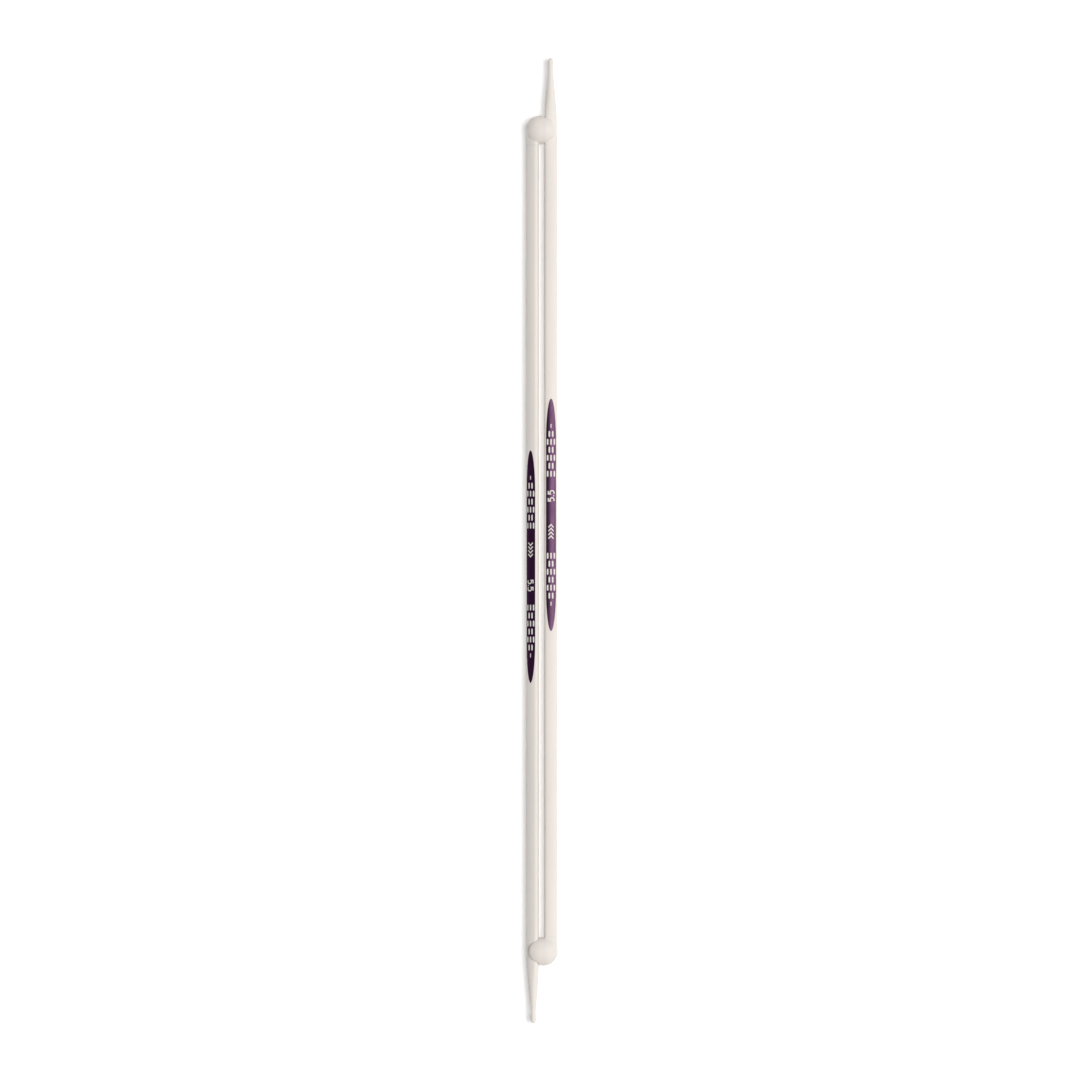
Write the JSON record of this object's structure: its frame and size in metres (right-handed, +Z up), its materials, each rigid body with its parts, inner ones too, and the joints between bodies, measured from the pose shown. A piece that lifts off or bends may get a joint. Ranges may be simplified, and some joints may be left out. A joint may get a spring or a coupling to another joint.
{
  "type": "pair of straight knitting needles",
  "caption": "Pair of long tapered knitting needles lying opposite ways, each held near its point by a slot in the other's ball-shaped clip head.",
  "frame": {"origin": "middle of the pair, on the surface that it lies on", "axes": "+Y along the needles, towards the left needle's head; +Z up; +X from the left needle to the right one"},
  "size_m": [0.0122, 0.3722, 0.0089],
  "materials": {
    "shaft_polymer": "satin white moulded polymer",
    "head_polymer": "satin white moulded polymer",
    "print_ink": "thin gloss purple printed ink"
  },
  "bodies": {
    "left_needle": {"left_needle_shaft": "shaft_polymer", "left_needle_clip_head": "head_polymer", "left_needle_print": "print_ink"},
    "right_needle": {"right_needle_shaft": "shaft_polymer", "right_needle_clip_head": "head_polymer", "right_needle_print": "print_ink"}
  },
  "joints": [
    {"name": "unclip_slide", "type": "slide", "parent": "left_needle", "child": "right_needle", "axis": [1, 0, 0], "range_m": [0, 0.025]}
  ]
}
